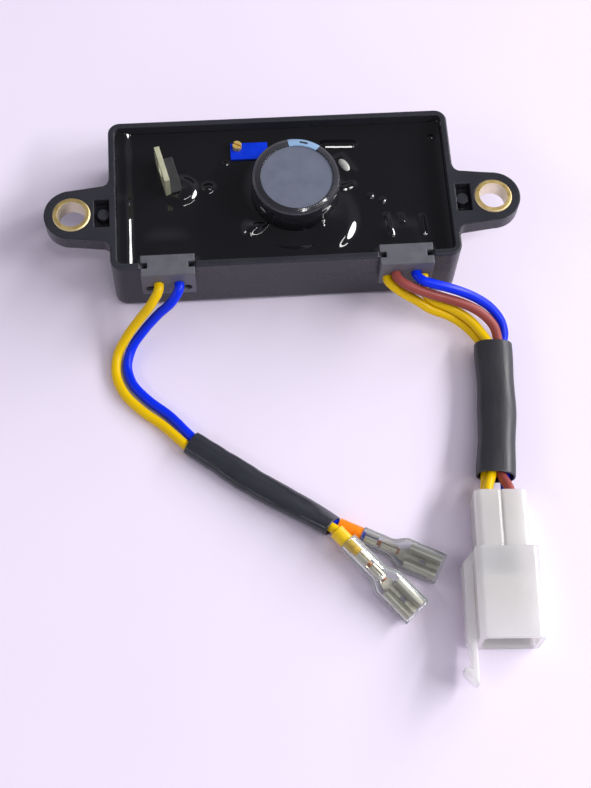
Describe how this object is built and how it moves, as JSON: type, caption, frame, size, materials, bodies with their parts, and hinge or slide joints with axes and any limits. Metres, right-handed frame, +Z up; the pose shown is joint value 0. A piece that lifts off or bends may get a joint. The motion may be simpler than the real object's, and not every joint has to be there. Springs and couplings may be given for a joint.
{
  "type": "generator voltage regulator",
  "caption": "Potted automatic voltage regulator for a small generator: black box with bolt ears, capacitor, trimmer, wires to push-on terminals and to a latched connector.",
  "frame": {"origin": "centre of the case's flat base face", "axes": "+X runs from the left ear to the right ear, -Y points to the side where the wires leave, +Z is up out of the open top"},
  "size_m": [0.1186, 0.1452, 0.0256],
  "materials": {
    "case_plastic": "satin moulded black plastic",
    "bushing_metal": "turned, yellow passivated",
    "potting": "poured glossy black compound",
    "board": "plain laminate",
    "can_aluminium": "drawn can",
    "capacitor_sleeve": "shrunk black film with a light stripe",
    "end_disc": "plain grey disc",
    "tinned_wire": "tinned lead",
    "moulded_black": "moulded epoxy",
    "tab_metal": "stamped, dull plated",
    "trimmer_blue": "moulded blue plastic",
    "screw_brass": "turned brass",
    "ceramic_grey": "dipped lacquer",
    "resistor_tan": "lacquered",
    "grommet_rubber": "matt moulded rubber",
    "wire_yellow": "extruded cover",
    "wire_blue": "extruded cover",
    "wire_brown": "extruded cover",
    "sleeve_black": "shrunk black sleeve",
    "marker_yellow": "slipped-on marker",
    "marker_orange": "slipped-on marker",
    "terminal_tin": "tinned sheet",
    "copper": "bare strands",
    "clear_boot": "clear soft plastic",
    "nylon": "natural translucent nylon",
    "contact_brass": "stamped brass"
  },
  "bodies": {
    "regulator": {"case": "case_plastic", "left_bushing": "bushing_metal", "right_bushing": "bushing_metal", "potting_compound": "potting", "circuit_board": "board", "capacitor_can": "can_aluminium", "capacitor_sleeve": "capacitor_sleeve", "capacitor_end_disc": "end_disc", "capacitor_leads": "tinned_wire", "transistor_body": "moulded_black", "transistor_tab": "tab_metal", "transistor_leads": "tinned_wire", "trimmer_body": "trimmer_blue", "trimmer_pins": "tinned_wire", "ceramic_capacitor": "ceramic_grey", "rectifier_diode_1": "moulded_black", "rectifier_diode_2": "moulded_black", "rectifier_diode_3": "moulded_black", "rectifier_diode_4": "moulded_black", "flyback_diode": "moulded_black", "bleed_resistor": "resistor_tan", "control_transistor": "moulded_black", "left_grommet": "grommet_rubber", "right_grommet": "grommet_rubber", "left_wire_cores": "copper", "right_wire_cores": "copper", "left_yellow_wire": "wire_yellow", "left_blue_wire": "wire_blue", "right_yellow_wire_1": "wire_yellow", "right_yellow_wire_2": "wire_yellow", "right_brown_wire": "wire_brown", "right_blue_wire": "wire_blue", "left_sleeve": "sleeve_black", "right_sleeve": "sleeve_black", "yellow_marker": "marker_yellow", "orange_marker": "marker_orange", "low_terminal": "terminal_tin", "high_terminal": "terminal_tin", "low_terminal_core": "copper", "high_terminal_core": "copper", "low_boot": "clear_boot", "high_boot": "clear_boot", "connector_housing": "nylon", "contact_1": "contact_brass", "contact_2": "contact_brass", "contact_3": "contact_brass", "contact_4": "contact_brass"},
    "adjusting_screw": {"trimmer_screw": "screw_brass"}
  },
  "joints": [
    {"name": "trimmer_turn", "type": "hinge", "parent": "regulator", "child": "adjusting_screw", "pos_m": [-0.01065, 0.0145, 0.0165], "axis": [0, 0, 1], "continuous": true}
  ]
}
